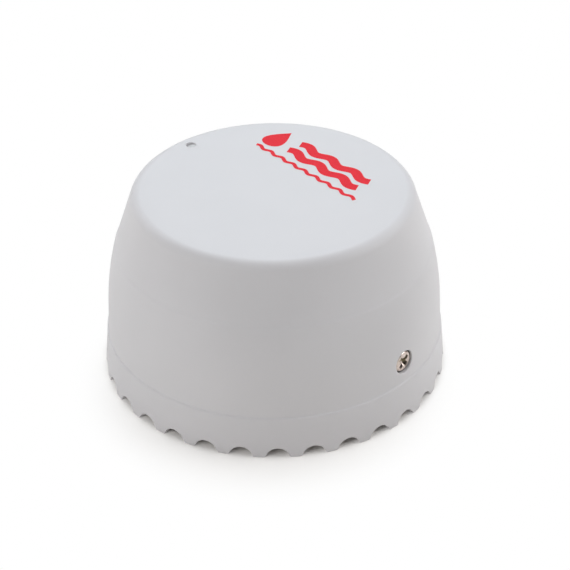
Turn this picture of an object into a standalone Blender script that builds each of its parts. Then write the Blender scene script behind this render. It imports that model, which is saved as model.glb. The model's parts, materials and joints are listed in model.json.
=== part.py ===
# Water leak sensor: a moulded cap with a notched skirt over a twist-in base.
# The base carries two sensing screws underneath and a circuit board with one lithium cell on top.
# Units are metres and +Z is up. The origin is the centre of the footprint on the floor.
# +X points at the side screw, and the indicator's pinhole is close to -X.

import math

import bmesh
import bpy
from mathutils import Matrix

# Housing, outer form
BODY_RADIUS = 0.0325            # at the floor
BODY_HEIGHT = 0.0363
LOWER_STEP_Z = 0.0079
UPPER_STEP_Z = 0.0254
LOWER_STEP = 0.00021            # how far the skirt stands out from the band
UPPER_STEP = 0.00008            # how far the band stands out from the cap
STEP_SLOPE = 0.00022            # height of each sloping shoulder
SKIRT_DRAFT = 5.5               # degrees
BAND_DRAFT = 3.35               # degrees
BAND_CROWN = 0.00119            # how far the band bends in below the upper step
CROWN_START_Z = 0.0141
CAP_DRAFT = 19.3                # degrees
RIM_FILLET = 0.00185
RIM_INNER_FILLET = 0.0008
WALL = 0.0020
TOP_WALL = 0.0022

# Drain notches round the skirt
NOTCH_PITCH = 0.0066            # round the foot, rounded to a whole number of notches
NOTCH_RADIUS = 0.0022
NOTCH_HEIGHT = 0.00186
NOTCH_START = -0.7              # degrees, middle of the notch nearest the side screw
TOOTH_CORNER = 0.0005           # rounding of each tooth's two corners

# General clearances
SEAT_GAP = 0.0003               # between moulded pieces that rest on each other
FINE_GAP = 0.00015              # round small turned pieces

# Sensing screws under the base
PROBE_SPACING = 0.0280
PROBE_TIP_Z = 0.0006            # height of the domed heads over the floor
PROBE_HEAD_RADIUS = 0.0026
PROBE_HEAD_HEIGHT = 0.0012
PROBE_SHANK_RADIUS = 0.0012
PROBE_SEAL_THICKNESS = 0.0006
STANDOFF_FLATS = 0.0045         # across the hexagon's flats

# Base
BASE_FLOOR = 0.0020
SEAL_SECTION = 0.0013           # diameter of the ring seal's cord
GROOVE_LIP = 0.0007             # wall above and below the seal's groove
LEDGE_DEPTH = 0.0013            # how far the housing's ledges stand inwards
LEDGE_THICKNESS = 0.0010
TAB_THICKNESS = 0.0010
TAB_COUNT = 3
TAB_SPAN = 24.0                 # degrees
TAB_START = 60.0                # degrees, middle of the first tab
NECK_WALL = 0.0016
RIB_COUNT = 8
RIB_WIDTH = 0.0010
RIB_HEIGHT = 0.0011
HUB_RADIUS = 0.0100             # ring that the ribs run from
COIN_SLOT_LENGTH = 0.0180
COIN_SLOT_WIDTH = 0.0022
COIN_SLOT_DEPTH = 0.0010
BASE_SEGMENTS = 48

# Side screw
SCREW_Z = 0.0122
SCREW_HEAD_RADIUS = 0.0020
SCREW_HEAD_HEIGHT = 0.0010
SCREW_HEAD_SINK = 0.00035       # head's face below the housing's surface
SCREW_SHANK_RADIUS = 0.0010
COUNTERBORE_GAP = 0.00023       # round the head
SCREW_SEAL_THICKNESS = 0.0005
SCREW_BOSS_RADIUS = 0.0035
SCREW_BOSS_LAND = 0.0011        # plastic under the counterbore
INSERT_RADIUS = 0.0018
INSERT_LENGTH = 0.0030
LUG_THICKNESS = 0.0038
RECESS_WIDTH = 0.00060          # arms of the cross recess
RECESS_DEPTH = 0.65             # share of the head's height
RECESS_ANGLE = 45.0             # degrees

# Circuit board
BOARD_LIFT = 0.0032             # from the base's floor
BOARD_THICKNESS = 0.0016
BOARD_EDGE_GAP = 0.0006
BOARD_SCREW_HEAD_RADIUS = 0.0020
BOARD_SCREW_HEAD_HEIGHT = 0.0013
BOARD_SCREW_SHANK_RADIUS = 0.00085
BOARD_SCREW_LENGTH = 0.0040
POST_RADIUS = 0.0023
POST_INSET = 0.0041             # from the board's edge to a post's centre
PART_SPACING = 0.0010           # between neighbours on the board

# Cell and its holder
CELL_RADIUS = 0.0085
CELL_LENGTH = 0.0345
CELL_NUB_RADIUS = 0.0032
CELL_NUB_LENGTH = 0.0008
CELL_PLAY = 0.0003
HOLDER_WALL = 0.0012
HOLDER_FLOOR = 0.0010
HOLDER_CORNER = 0.0030
HOLDER_GRIP = 0.0020            # how far the walls reach above the cell's axis
CONTACT_THICKNESS = 0.0004
CONTACT_SIZE = 0.0100           # both sides of the square plates
CONTACT_CORNER = 0.0012
TAIL_WIDTH = 0.0012
TAIL_PROUD = 0.0008             # tail below the board
SPRING_SPACE = 0.0026
SPRING_WIRE = 0.0006
SPRING_FOOT_RADIUS = 0.0036
SPRING_TIP_RADIUS = 0.0020
SPRING_TURNS = 3

# Indicator
LED_INSET = 0.00315             # from the corner where the cap would meet the top
LED_OFFSET = 0.00156            # sideways from the X axis
LED_RADIUS = 0.0015
LED_FLANGE_RADIUS = 0.0019
LED_FLANGE_HEIGHT = 0.0010
LED_HEIGHT = 0.0052
PIPE_RADIUS = 0.0015
PIPE_TIP_RADIUS = 0.00082
PIPE_SINK = 0.0004              # tip's face below the top face
PIPE_TIP_LENGTH = 0.0022
PIPE_BOSS_WALL = 0.0011
PIPE_BOSS_LENGTH = 0.0060

# Other parts on the board
CHIP_LENGTH = 0.0049
CHIP_WIDTH = 0.0039
CHIP_HEIGHT = 0.0015
CHIP_SPAN = 0.0060              # over the leads
CHIP_LEADS = 4                  # on each side
CHIP_LEAD_PITCH = 0.00127
CHIP_LEAD_WIDTH = 0.00045
CHIP_LEAD_THICKNESS = 0.00025
CHIP_STANDOFF = 0.00025
CRYSTAL_LENGTH = 0.0050
CRYSTAL_WIDTH = 0.0032
CRYSTAL_FOOT = 0.0005           # height of the ceramic foot
CRYSTAL_LID = 0.0008            # height of the metal lid
CRYSTAL_RIM = 0.0002
CRYSTAL_CORNER = 0.0004
COIL_RADIUS = 0.0025
COIL_WIRE = 0.0006
COIL_TURNS = 6
COIL_LENGTH = 0.0090
COIL_LIFT = 0.0006              # lowest turn over the board
CAPACITOR_RADIUS = 0.0020
CAPACITOR_HEIGHT = 0.0070
CAPACITOR_GROOVE = 0.0003

MERGE = 0.00001
CRISP_ANGLE = 35.0              # degrees, past which two faces meet in a crisp corner
# Turns a shape's own axis from +Z to +X: its X becomes Y and its Y becomes Z
TO_X = Matrix(((0, 0, 1, 0), (1, 0, 0, 0), (0, 1, 0, 0), (0, 0, 0, 1)))
# Turns a shape's own axis from +Z to +Y: its X becomes Z and its Y becomes X
TO_Y = Matrix(((0, 1, 0, 0), (0, 0, 1, 0), (1, 0, 0, 0), (0, 0, 0, 1)))
# Stands an outline upright: its Y becomes Z and its thickness runs towards -Y
STAND_UP = Matrix(((1, 0, 0, 0), (0, 0, -1, 0), (0, 1, 0, 0), (0, 0, 0, 1)))


# Sizes that follow from the driving ones

notch_count = round(2 * math.pi * BODY_RADIUS / NOTCH_PITCH)
housing_segments = 2 * notch_count


def slope(degrees):
    return math.tan(math.radians(degrees))


def skirt_radius(z):
    return BODY_RADIUS - z * slope(SKIRT_DRAFT)


def band_radius(z):
    radius = skirt_radius(LOWER_STEP_Z) - LOWER_STEP - (z - LOWER_STEP_Z) * slope(BAND_DRAFT)
    if z > CROWN_START_Z:
        radius -= BAND_CROWN * ((z - CROWN_START_Z) / (UPPER_STEP_Z - CROWN_START_Z)) ** 2
    return radius


def cap_radius(z):
    return band_radius(UPPER_STEP_Z) - UPPER_STEP - (z - UPPER_STEP_Z) * slope(CAP_DRAFT)


def cavity_radius(z):
    if z >= UPPER_STEP_Z:
        return cap_radius(z) - WALL
    if z >= LOWER_STEP_Z:
        return band_radius(z) - WALL
    foot = BODY_RADIUS - WALL
    return foot + (band_radius(LOWER_STEP_Z) - WALL - foot) * z / LOWER_STEP_Z


floor_z = PROBE_TIP_Z + PROBE_HEAD_HEIGHT + PROBE_SEAL_THICKNESS + 2 * FINE_GAP
floor_top = floor_z + BASE_FLOOR
groove_height = SEAL_SECTION + 2 * FINE_GAP
seal_z = floor_z + GROOVE_LIP + groove_height / 2
flange_top = floor_z + 2 * GROOVE_LIP + groove_height
flange_radius = cavity_radius(flange_top) - SEAT_GAP
groove_radius = cavity_radius(seal_z) - SEAL_SECTION - 2 * FINE_GAP
ledge_z = flange_top + SEAT_GAP
tab_z = ledge_z + LEDGE_THICKNESS + SEAT_GAP
neck_top = tab_z + TAB_THICKNESS
ledge_radius = cavity_radius(ledge_z + LEDGE_THICKNESS) - LEDGE_DEPTH
neck_radius = ledge_radius - SEAT_GAP
neck_inner = neck_radius - NECK_WALL
tab_radius = cavity_radius(neck_top) - SEAT_GAP

screw_face = band_radius(SCREW_Z) - SCREW_HEAD_SINK
screw_seat = screw_face - SCREW_HEAD_HEIGHT
seal_face = screw_seat - FINE_GAP
counterbore_floor = seal_face - SCREW_SEAL_THICKNESS - FINE_GAP
boss_face = counterbore_floor - SCREW_BOSS_LAND
lug_face = boss_face - SEAT_GAP
lug_back = lug_face - LUG_THICKNESS
shank_hole = SCREW_SHANK_RADIUS + FINE_GAP

board_z = floor_top + BOARD_LIFT
board_top = board_z + BOARD_THICKNESS
board_radius = neck_inner - BOARD_EDGE_GAP

trough_radius = CELL_RADIUS + CELL_PLAY
holder_z = board_top + SEAT_GAP
cell_z = holder_z + HOLDER_FLOOR + trough_radius
bay_half = (CELL_LENGTH + SPRING_SPACE) / 2 + CONTACT_THICKNESS + 2 * FINE_GAP
holder_half_width = trough_radius + HOLDER_WALL
holder_half_length = bay_half + HOLDER_WALL
contact_y = bay_half - FINE_GAP - CONTACT_THICKNESS / 2
contact_inner_y = contact_y - CONTACT_THICKNESS / 2
cell_end_y = contact_inner_y - FINE_GAP

post_x = holder_half_width + BOARD_SCREW_HEAD_RADIUS + SEAT_GAP
post_y = math.sqrt((board_radius - POST_INSET) ** 2 - post_x ** 2)
top_corner = cap_radius(BODY_HEIGHT)
led_x = LED_INSET - top_corner
led_top = board_top + SEAT_GAP + LED_HEIGHT
led_side_x = -(holder_half_width + board_radius) / 2
lug_side_x = (holder_half_width + lug_back - BOARD_EDGE_GAP) / 2


# Helpers

def clear_scene():
    for old in list(bpy.data.objects):
        bpy.data.objects.remove(old, do_unlink=True)


def new_collection(name):
    collection = bpy.data.collections.new(name)
    bpy.context.scene.collection.children.link(collection)
    return collection


def new_material(name, colour, roughness, metallic=0.0):
    material = bpy.data.materials.new(name)
    material.use_nodes = True
    shader = material.node_tree.nodes["Principled BSDF"]
    shader.inputs["Base Color"].default_value = (*colour, 1.0)
    shader.inputs["Roughness"].default_value = roughness
    shader.inputs["Metallic"].default_value = metallic
    material.diffuse_color = (*colour, 1.0)
    return material


def place(name, mesh, matrix, material):
    piece = bpy.data.objects.new(name, mesh)
    parts.objects.link(piece)
    piece.parent = root
    piece.matrix_world = matrix
    if material and not mesh.materials:
        mesh.materials.append(material)
    return piece


def place_tool(name, mesh, matrix):
    tool = bpy.data.objects.new(name, mesh)
    tools.objects.link(tool)
    tool.matrix_world = matrix
    mesh.shade_smooth()
    tool.display_type = "WIRE"
    tool.hide_render = True
    return tool


def combine(piece, operation, name, mesh, matrix):
    boolean = piece.modifiers.new(name, "BOOLEAN")
    boolean.operation = operation
    boolean.solver = "EXACT"
    boolean.object = place_tool(name, mesh, matrix)


def add(piece, name, mesh, matrix):
    combine(piece, "UNION", name, mesh, matrix)


def cut(piece, name, mesh, matrix):
    combine(piece, "DIFFERENCE", name, mesh, matrix)


def shade(piece):
    # Smooth faces between crisp corners
    piece.data.shade_smooth()
    if piece.modifiers:
        corners = piece.modifiers.new("crisp_corners", "EDGE_SPLIT")
        corners.split_angle = math.radians(CRISP_ANGLE)
    else:
        piece.data.set_sharp_from_angle(angle=math.radians(CRISP_ANGLE))


def at(x, y, z):
    return Matrix.Translation((x, y, z))


def arc(centre_x, centre_y, radius, start, end, steps):
    points = []
    for step in range(steps + 1):
        angle = math.radians(start + (end - start) * step / steps)
        points.append((centre_x + radius * math.cos(angle), centre_y + radius * math.sin(angle)))
    return points


def circle(radius, steps, centre_x=0.0, centre_y=0.0):
    return arc(centre_x, centre_y, radius, 0.0, 360.0, steps)[:-1]


def rectangle(x0, x1, y0, y1):
    return [(x0, y0), (x1, y0), (x1, y1), (x0, y1)]


def rounded_rectangle(half_x, half_y, corner, steps):
    points = []
    for quarter, (side_x, side_y) in enumerate(((1, 1), (-1, 1), (-1, -1), (1, -1))):
        centre_x = side_x * (half_x - corner)
        centre_y = side_y * (half_y - corner)
        points += arc(centre_x, centre_y, corner, 90.0 * quarter, 90.0 * quarter + 90.0, steps)
    return points


def sector(inner, outer, middle, span, steps):
    start = middle - span / 2
    end = middle + span / 2
    return arc(0, 0, outer, start, end, steps) + arc(0, 0, inner, end, start, steps)


def flat_mesh(name, outlines, thickness):
    # The first outline is the edge and any others are holes; the plate stands on local z = 0
    curve = bpy.data.curves.new(name, "CURVE")
    curve.dimensions = "2D"
    curve.fill_mode = "BOTH"
    curve.extrude = thickness / 2
    for outline in outlines:
        spline = curve.splines.new("POLY")
        spline.points.add(len(outline) - 1)
        for point, (x, y) in zip(spline.points, outline):
            point.co = (x, y, 0.0, 1.0)
        spline.use_cyclic_u = True
    return curve_mesh(name, curve, at(0, 0, thickness / 2))


def curve_mesh(name, curve, matrix):
    holder = bpy.data.objects.new(name, curve)
    bpy.context.scene.collection.objects.link(holder)
    graph = bpy.context.evaluated_depsgraph_get()
    mesh = bpy.data.meshes.new_from_object(holder.evaluated_get(graph))
    bpy.data.objects.remove(holder, do_unlink=True)
    bpy.data.curves.remove(curve)
    mesh.name = name
    mesh.materials.clear()
    weld = bmesh.new()
    weld.from_mesh(mesh)
    bmesh.ops.remove_doubles(weld, verts=weld.verts, dist=MERGE)
    bmesh.ops.recalc_face_normals(weld, faces=weld.faces)
    weld.to_mesh(mesh)
    weld.free()
    mesh.transform(matrix)
    return mesh


def wire_mesh(name, points, diameter):
    curve = bpy.data.curves.new(name, "CURVE")
    curve.dimensions = "3D"
    curve.bevel_depth = diameter / 2
    curve.bevel_resolution = 2
    curve.use_fill_caps = True
    spline = curve.splines.new("POLY")
    spline.points.add(len(points) - 1)
    for point, position in zip(spline.points, points):
        point.co = (*position, 1.0)
    return curve_mesh(name, curve, Matrix.Identity(4))


def cylinder_mesh(name, radius, length, steps):
    # Stands on local z = 0
    shape = bmesh.new()
    bmesh.ops.create_cone(shape, cap_ends=True, segments=steps, radius1=radius, radius2=radius,
                          depth=length, matrix=at(0, 0, length / 2))
    return finish_mesh(name, shape)


def box_mesh(name, x0, x1, y0, y1, z0, z1):
    shape = bmesh.new()
    scale = Matrix.Diagonal((x1 - x0, y1 - y0, z1 - z0, 1.0))
    centre = at((x0 + x1) / 2, (y0 + y1) / 2, (z0 + z1) / 2)
    bmesh.ops.create_cube(shape, size=1.0, matrix=centre @ scale)
    return finish_mesh(name, shape)


def ring_mesh(name, ring_radius, section_radius, ring_steps, section_steps):
    shape = bmesh.new()
    section = [(ring_radius + x, y) for x, y in circle(section_radius, section_steps)]
    corners = [shape.verts.new((x, 0.0, z)) for x, z in section]
    loop = [shape.edges.new((corners[i - 1], corners[i])) for i in range(len(corners))]
    bmesh.ops.spin(shape, geom=corners + loop, cent=(0, 0, 0), axis=(0, 0, 1),
                   angle=2 * math.pi, steps=ring_steps, use_merge=True)
    bmesh.ops.remove_doubles(shape, verts=shape.verts, dist=MERGE)
    bmesh.ops.recalc_face_normals(shape, faces=shape.faces)
    return finish_mesh(name, shape)


def finish_mesh(name, shape):
    mesh = bpy.data.meshes.new(name)
    shape.to_mesh(mesh)
    shape.free()
    return mesh


def profile_mesh(name, profile):
    # An open line of (radius, height) points for a Screw modifier, top to bottom outside
    shape = bmesh.new()
    points = [shape.verts.new((radius, 0.0, height)) for radius, height in profile]
    for first, second in zip(points, points[1:]):
        shape.edges.new((first, second))
    return finish_mesh(name, shape)


def turn(piece, steps):
    screw = piece.modifiers.new("turn", "SCREW")
    screw.axis = "Z"
    screw.angle = 2 * math.pi
    screw.steps = steps
    screw.render_steps = steps
    screw.use_merge_vertices = True
    screw.merge_threshold = MERGE
    screw.use_smooth_shade = True


def turned(name, profile, steps, matrix, material):
    piece = place(name, profile_mesh(name, profile), matrix, material)
    turn(piece, steps)
    return piece


def screw_profile(head_radius, head_height, shank_radius, length):
    # Low domed head with its face at z = 0 and the shank below it
    edge = head_height * 0.35
    return [
        (0.0, 0.0),
        (head_radius * 0.62, -head_height * 0.04),
        (head_radius - edge * 0.4, -edge * 0.4),
        (head_radius, -edge),
        (head_radius, -head_height),
        (shank_radius, -head_height),
        (shank_radius, -length + shank_radius * 0.6),
        (shank_radius * 0.5, -length),
        (0.0, -length),
    ]


def cross_recess(piece, name, head_radius, head_height, matrix):
    # Two crossing wedges, as a driver's tip leaves them, from local z = 0 down
    reach = head_radius * 0.66
    tip = RECESS_WIDTH * 0.7
    depth = head_height * RECESS_DEPTH
    outline = [(-tip, -depth), (tip, -depth), (reach, 0.0), (reach, depth), (-reach, depth),
               (-reach, 0.0)]
    wedge = flat_mesh(name, [outline], RECESS_WIDTH)
    upright = at(0, RECESS_WIDTH / 2, 0) @ STAND_UP
    for index in range(2):
        turn_arm = Matrix.Rotation(math.radians(RECESS_ANGLE + 90.0 * index), 4, "Z")
        cut(piece, f"{name}_{index + 1}", wedge.copy(), matrix @ turn_arm @ upright)
    bpy.data.meshes.remove(wedge)


# Housing

def housing_profile():
    fillet_turn = 90.0 - CAP_DRAFT
    tangent = RIM_FILLET * math.tan(math.radians(fillet_turn / 2))
    points = [(0.0, BODY_HEIGHT)]
    points += arc(top_corner - tangent, BODY_HEIGHT - RIM_FILLET, RIM_FILLET, 90.0, CAP_DRAFT, 6)
    points.append((cap_radius(UPPER_STEP_Z + STEP_SLOPE), UPPER_STEP_Z + STEP_SLOPE))
    crown_steps = 4
    for step in range(crown_steps):
        z = UPPER_STEP_Z + (CROWN_START_Z - UPPER_STEP_Z) * step / crown_steps
        points.append((band_radius(z), z))
    points.append((band_radius(LOWER_STEP_Z + STEP_SLOPE), LOWER_STEP_Z + STEP_SLOPE))
    points.append((skirt_radius(LOWER_STEP_Z), LOWER_STEP_Z))
    points.append((BODY_RADIUS, 0.0))
    points.append((BODY_RADIUS - WALL, 0.0))
    inner_steps = 2
    for step in range(inner_steps):
        z = LOWER_STEP_Z + (UPPER_STEP_Z - LOWER_STEP_Z) * step / inner_steps
        points.append((cavity_radius(z), z))
    points.append((cavity_radius(UPPER_STEP_Z), UPPER_STEP_Z))
    ceiling = BODY_HEIGHT - TOP_WALL
    inner_tangent = RIM_INNER_FILLET * math.tan(math.radians(fillet_turn / 2))
    points += arc(cavity_radius(ceiling) - inner_tangent, ceiling - RIM_INNER_FILLET,
                  RIM_INNER_FILLET, CAP_DRAFT, 90.0, 3)
    points.append((0.0, ceiling))
    return points


def notch_outline():
    # A circular arch whose feet flare into the teeth's rounded corners, open below the floor
    centre_z = NOTCH_HEIGHT - NOTCH_RADIUS
    lift = TOOTH_CORNER - centre_z
    corner_y = math.sqrt((NOTCH_RADIUS + TOOTH_CORNER) ** 2 - lift ** 2)
    lean = math.degrees(math.atan2(lift, corner_y))
    points = [(-corner_y, -TOOTH_CORNER)]
    points += arc(-corner_y, TOOTH_CORNER, TOOTH_CORNER, -90.0, -lean, 2)
    points += arc(0.0, centre_z, NOTCH_RADIUS, 180.0 - lean, lean, 7)[1:-1]
    points += arc(corner_y, TOOTH_CORNER, TOOTH_CORNER, 180.0 + lean, 270.0, 2)
    points.append((corner_y, -TOOTH_CORNER))
    return points


def notch_ring_mesh():
    reach = 3 * WALL
    arch = flat_mesh("notch", [notch_outline()], reach)
    ring = bmesh.new()
    for index in range(notch_count):
        copy = arch.copy()
        angle = math.radians(NOTCH_START + 360.0 * index / notch_count)
        spin = Matrix.Rotation(angle, 4, "Z")
        copy.transform(spin @ at(BODY_RADIUS - 2 * WALL, 0, 0) @ TO_X)
        ring.from_mesh(copy)
        bpy.data.meshes.remove(copy)
    bpy.data.meshes.remove(arch)
    return finish_mesh("notches", ring)


def make_housing():
    housing = turned("housing_shell", housing_profile(), housing_segments, at(0, 0, 0),
                     new_material("grey_abs", (0.74, 0.74, 0.75), 0.55))
    for index in range(TAB_COUNT):
        middle = TAB_START + 360.0 * index / TAB_COUNT
        outer = cavity_radius(ledge_z) + WALL / 2
        outline = sector(ledge_radius, outer, middle, TAB_SPAN, 6)
        add(housing, f"ledge_{index + 1}", flat_mesh("ledge", [outline], LEDGE_THICKNESS),
            at(0, 0, ledge_z))
    boss_length = cavity_radius(SCREW_Z) + WALL / 2 - boss_face
    add(housing, "screw_boss", cylinder_mesh("screw_boss", SCREW_BOSS_RADIUS, boss_length, 20),
        at(boss_face, 0, SCREW_Z) @ TO_X)
    ceiling = BODY_HEIGHT - TOP_WALL
    pipe_bore = PIPE_RADIUS + FINE_GAP
    boss_radius = pipe_bore + PIPE_BOSS_WALL
    add(housing, "pipe_boss",
        cylinder_mesh("pipe_boss", boss_radius, PIPE_BOSS_LENGTH + TOP_WALL / 2, 16),
        at(led_x, LED_OFFSET, ceiling - PIPE_BOSS_LENGTH))
    cut(housing, "notches", notch_ring_mesh(), at(0, 0, 0))
    bore = SCREW_HEAD_RADIUS + COUNTERBORE_GAP
    cut(housing, "counterbore", cylinder_mesh("counterbore", bore, 4 * WALL, 32),
        at(counterbore_floor, 0, SCREW_Z) @ TO_X)
    cut(housing, "shank_hole", cylinder_mesh("shank_hole", shank_hole, 4 * WALL, 20),
        at(boss_face - WALL, 0, SCREW_Z) @ TO_X)
    cut(housing, "tip_hole", cylinder_mesh("tip_hole", PIPE_TIP_RADIUS + FINE_GAP, 4 * TOP_WALL, 24),
        at(led_x, LED_OFFSET, BODY_HEIGHT - 2 * TOP_WALL))
    shoulder_z = BODY_HEIGHT - PIPE_SINK - PIPE_TIP_LENGTH + FINE_GAP
    bore_length = shoulder_z - ceiling + PIPE_BOSS_LENGTH + TOP_WALL
    cut(housing, "pipe_bore", cylinder_mesh("pipe_bore", pipe_bore, bore_length, 16),
        at(led_x, LED_OFFSET, shoulder_z - bore_length))


# Base

def base_profile():
    return [
        (0.0, floor_top),
        (neck_inner, floor_top),
        (neck_inner, neck_top),
        (neck_radius, neck_top),
        (neck_radius, flange_top),
        (flange_radius, flange_top),
        (flange_radius, flange_top - GROOVE_LIP),
        (groove_radius, flange_top - GROOVE_LIP),
        (groove_radius, floor_z + GROOVE_LIP),
        (flange_radius, floor_z + GROOVE_LIP),
        (flange_radius, floor_z),
        (0.0, floor_z),
    ]


def post_places():
    return [(post_x, post_y), (-post_x, post_y), (-post_x, -post_y), (post_x, -post_y)]


def make_base():
    base = turned("base_chassis", base_profile(), BASE_SEGMENTS, at(0, 0, 0),
                  new_material("base_abs", (0.70, 0.70, 0.71), 0.6))
    for index in range(TAB_COUNT):
        middle = TAB_START + 360.0 * index / TAB_COUNT
        outline = sector(neck_radius - NECK_WALL / 2, tab_radius, middle, TAB_SPAN, 6)
        add(base, f"tab_{index + 1}", flat_mesh("tab", [outline], TAB_THICKNESS), at(0, 0, tab_z))
    width = 2 * SCREW_BOSS_RADIUS
    lug = arc(0.0, SCREW_Z, SCREW_BOSS_RADIUS, 0.0, 180.0, 12)
    lug += [(-width / 2, floor_z + BASE_FLOOR / 2), (width / 2, floor_z + BASE_FLOOR / 2)]
    add(base, "lug", flat_mesh("lug", [lug], LUG_THICKNESS), at(lug_back, 0, 0) @ TO_X)
    sunk = BASE_FLOOR / 2
    hub_outline = [circle(HUB_RADIUS + RIB_WIDTH / 2, 24), circle(HUB_RADIUS - RIB_WIDTH / 2, 24)]
    add(base, "hub", flat_mesh("hub", hub_outline, sunk + RIB_HEIGHT), at(0, 0, floor_top - sunk))
    for index in range(RIB_COUNT):
        spin = Matrix.Rotation(2 * math.pi * (index + 0.5) / RIB_COUNT, 4, "Z")
        rib = box_mesh("rib", HUB_RADIUS, neck_inner + NECK_WALL / 2, -RIB_WIDTH / 2, RIB_WIDTH / 2,
                       floor_top - sunk, floor_top + RIB_HEIGHT)
        add(base, f"rib_{index + 1}", rib, spin)
    for index, (x, y) in enumerate(post_places()):
        post = cylinder_mesh("post", POST_RADIUS, sunk + BOARD_LIFT - SEAT_GAP, 14)
        add(base, f"post_{index + 1}", post, at(x, y, floor_top - sunk))
    depth = BOARD_SCREW_LENGTH - BOARD_THICKNESS
    for index, (x, y) in enumerate(post_places()):
        hole = cylinder_mesh("post_hole", BOARD_SCREW_SHANK_RADIUS + FINE_GAP, 2 * depth, 12)
        cut(base, f"post_hole_{index + 1}", hole, at(x, y, board_z - depth))
    for index, side in enumerate((1, -1)):
        hole = cylinder_mesh("probe_hole", PROBE_SHANK_RADIUS + FINE_GAP, 3 * BASE_FLOOR, 16)
        cut(base, f"probe_hole_{index + 1}", hole,
            at(side * PROBE_SPACING / 2, 0, floor_z - BASE_FLOOR))
    cut(base, "insert_hole", cylinder_mesh("insert_hole", INSERT_RADIUS + FINE_GAP,
                                           2 * LUG_THICKNESS, 20),
        at(lug_back - LUG_THICKNESS / 2, 0, SCREW_Z) @ TO_X)
    slot = box_mesh("coin_slot", -COIN_SLOT_WIDTH / 2, COIN_SLOT_WIDTH / 2, -COIN_SLOT_LENGTH / 2,
                    COIN_SLOT_LENGTH / 2, -COIN_SLOT_DEPTH, COIN_SLOT_DEPTH)
    cut(base, "coin_slot", slot, at(0, 0, floor_z))


# Seals, screws and sensing contacts

def make_seals(rubber):
    place("main_seal", ring_mesh("main_seal", groove_radius + FINE_GAP + SEAL_SECTION / 2,
                                 SEAL_SECTION / 2, BASE_SEGMENTS, 8), at(0, 0, seal_z), rubber)
    washer = [circle(SCREW_HEAD_RADIUS, 24), circle(shank_hole, 20)]
    place("side_screw_seal", flat_mesh("side_screw_seal", washer, SCREW_SEAL_THICKNESS),
          at(counterbore_floor + FINE_GAP, 0, SCREW_Z) @ TO_X, rubber)
    hole = PROBE_SHANK_RADIUS + FINE_GAP
    washer = [circle(PROBE_HEAD_RADIUS, 24), circle(hole, 16)]
    for index, side in enumerate((1, -1)):
        name = f"probe_seal_{index + 1}"
        place(name, flat_mesh(name, washer, PROBE_SEAL_THICKNESS),
              at(side * PROBE_SPACING / 2, 0, floor_z - FINE_GAP - PROBE_SEAL_THICKNESS), rubber)


def make_side_screw(nickel, brass):
    length = screw_face - lug_back
    profile = screw_profile(SCREW_HEAD_RADIUS, SCREW_HEAD_HEIGHT, SCREW_SHANK_RADIUS, length)
    matrix = at(screw_face, 0, SCREW_Z) @ TO_X
    screw = turned("side_screw", profile, 24, matrix, nickel)
    cross_recess(screw, "side_screw_recess", SCREW_HEAD_RADIUS, SCREW_HEAD_HEIGHT, matrix)
    insert = [circle(INSERT_RADIUS, 20), circle(shank_hole, 16)]
    place("screw_insert", flat_mesh("screw_insert", insert, INSERT_LENGTH),
          at(lug_face - INSERT_LENGTH, 0, SCREW_Z) @ TO_X, brass)


def make_probes(nickel, brass):
    dome = PROBE_HEAD_HEIGHT * 0.5
    shank_top = board_z - SEAT_GAP
    head_top = PROBE_TIP_Z + PROBE_HEAD_HEIGHT
    profile = [(0.0, shank_top), (PROBE_SHANK_RADIUS * 0.6, shank_top),
               (PROBE_SHANK_RADIUS, shank_top - PROBE_SHANK_RADIUS * 0.4),
               (PROBE_SHANK_RADIUS, head_top), (PROBE_HEAD_RADIUS, head_top),
               (PROBE_HEAD_RADIUS, PROBE_TIP_Z + dome)]
    dome_steps = 4
    for step in range(1, dome_steps + 1):
        angle = math.pi / 2 * step / dome_steps
        profile.append((PROBE_HEAD_RADIUS * math.cos(angle), PROBE_TIP_Z + dome * (1 - math.sin(angle))))
    profile[-1] = (0.0, PROBE_TIP_Z)
    hexagon = circle(STANDOFF_FLATS / math.sqrt(3), 6)
    hole = circle(PROBE_SHANK_RADIUS + FINE_GAP, 16)
    standoff_length = BOARD_LIFT - 2 * FINE_GAP
    for index, side in enumerate((1, -1)):
        x = side * PROBE_SPACING / 2
        turned(f"probe_screw_{index + 1}", profile, 20, at(x, 0, 0), nickel)
        name = f"probe_standoff_{index + 1}"
        place(name, flat_mesh(name, [hexagon, hole], standoff_length),
              at(x, 0, floor_top + FINE_GAP), brass)


# Circuit board and its screws

def board_outline():
    # A disc with a square mouth that lets the base's lug through
    mouth = SCREW_BOSS_RADIUS + BOARD_EDGE_GAP
    mouth_angle = math.degrees(math.asin(mouth / board_radius))
    points = arc(0, 0, board_radius, mouth_angle, 360.0 - mouth_angle, 64)
    mouth_x = lug_back - BOARD_EDGE_GAP
    return points + [(mouth_x, -mouth), (mouth_x, mouth)]


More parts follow.
